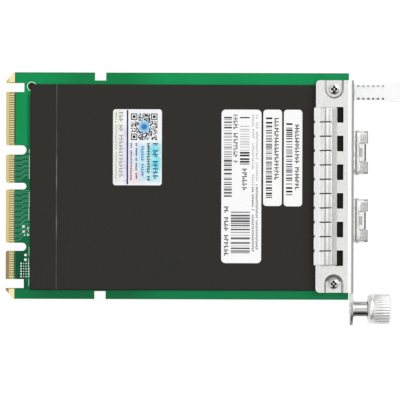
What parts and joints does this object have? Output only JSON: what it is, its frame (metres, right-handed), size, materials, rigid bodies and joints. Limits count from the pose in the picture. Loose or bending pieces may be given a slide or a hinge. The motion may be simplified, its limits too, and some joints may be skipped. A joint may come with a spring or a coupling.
{
  "type": "mezzanine network card",
  "caption": "Flat server network card: card-edge tongue at one end, folded front bracket with pluggable module cages, spring gaskets, pull tab and a sprung captive thumbscrew.",
  "frame": {"origin": "middle of the card's overall box, on the surface that it lies on", "axes": "+X from the card-edge tongue to the front bracket, +Y towards the pull tab's side, +Z out of the insulated secondary side; the card lies on its component side"},
  "size_m": [0.1448, 0.0848, 0.0176],
  "materials": {
    "solder_mask": "green solder mask on glass-epoxy laminate, satin gloss",
    "insulator_film": "black polyester film, satin",
    "label_paper": "white synthetic paper sticker",
    "bracket_steel": "plated sheet steel, satin",
    "spring_metal": "tinned copper-alloy spring sheet",
    "cage_metal": "nickel-plated copper alloy",
    "bright_nickel": "bright nickel plate",
    "tinned_brass": "tin-plated brass",
    "milky_elastomer": "milky translucent elastomer",
    "clear_acrylic": "clear moulded acrylic",
    "black_moulding": "glass-filled black moulding",
    "chip_resin": "moulded epoxy",
    "anodised_aluminium": "black anodised extrusion",
    "thermal_pad": "silicone gap pad",
    "ferrite": "pressed ferrite powder"
  },
  "bodies": {
    "card": {"circuit_board": "solder_mask", "insulator": "insulator_film", "label_code": "label_paper", "label_product": "label_paper", "label_serial": "label_paper", "label_address": "label_paper", "io_bracket": "bracket_steel", "gasket_secondary": "spring_metal", "gasket_component": "spring_metal", "gasket_side": "spring_metal", "bracket_screw_left": "bright_nickel", "bracket_screw_right": "bright_nickel", "board_nut_left": "tinned_brass", "board_nut_right": "tinned_brass", "captive_sleeve": "bright_nickel", "pull_tab": "milky_elastomer", "cage_shell_left": "cage_metal", "cage_shell_right": "cage_metal", "cage_base_left": "cage_metal", "cage_base_right": "cage_metal", "cage_collar_left": "spring_metal", "cage_collar_right": "spring_metal", "receptacle_left": "black_moulding", "receptacle_right": "black_moulding", "light_pipe": "clear_acrylic", "controller_chip": "chip_resin", "thermal_pad": "thermal_pad", "heatsink": "anodised_aluminium", "sink_screw_1": "bright_nickel", "sink_screw_2": "bright_nickel", "sink_spring_1": "spring_metal", "sink_spring_2": "spring_metal", "sink_standoff_1": "tinned_brass", "sink_standoff_2": "tinned_brass", "power_inductor_1": "ferrite", "power_inductor_2": "ferrite", "regulator_1": "chip_resin", "regulator_2": "chip_resin", "polymer_capacitor_1": "black_moulding", "polymer_capacitor_2": "black_moulding", "polymer_capacitor_3": "black_moulding", "polymer_capacitor_4": "black_moulding", "crystal": "cage_metal", "flash_chip": "chip_resin"},
    "screw_spring": {"captive_spring": "spring_metal"},
    "thumbscrew": {"captive_screw": "bright_nickel", "thumb_knob": "bright_nickel"}
  },
  "joints": [
    {"name": "thumbscrew_press", "type": "slide", "parent": "card", "child": "screw_spring", "axis": [-1, 0, 0], "range_m": [0, 0.0036], "stiffness_N_per_m": 300, "springref_m": -0.003, "deforming": ["captive_spring"]},
    {"name": "thumbscrew_turn", "type": "hinge", "parent": "screw_spring", "child": "thumbscrew", "pos_m": [0.04435, -0.03685, 0.0088], "axis": [1, 0, 0], "continuous": true}
  ]
}
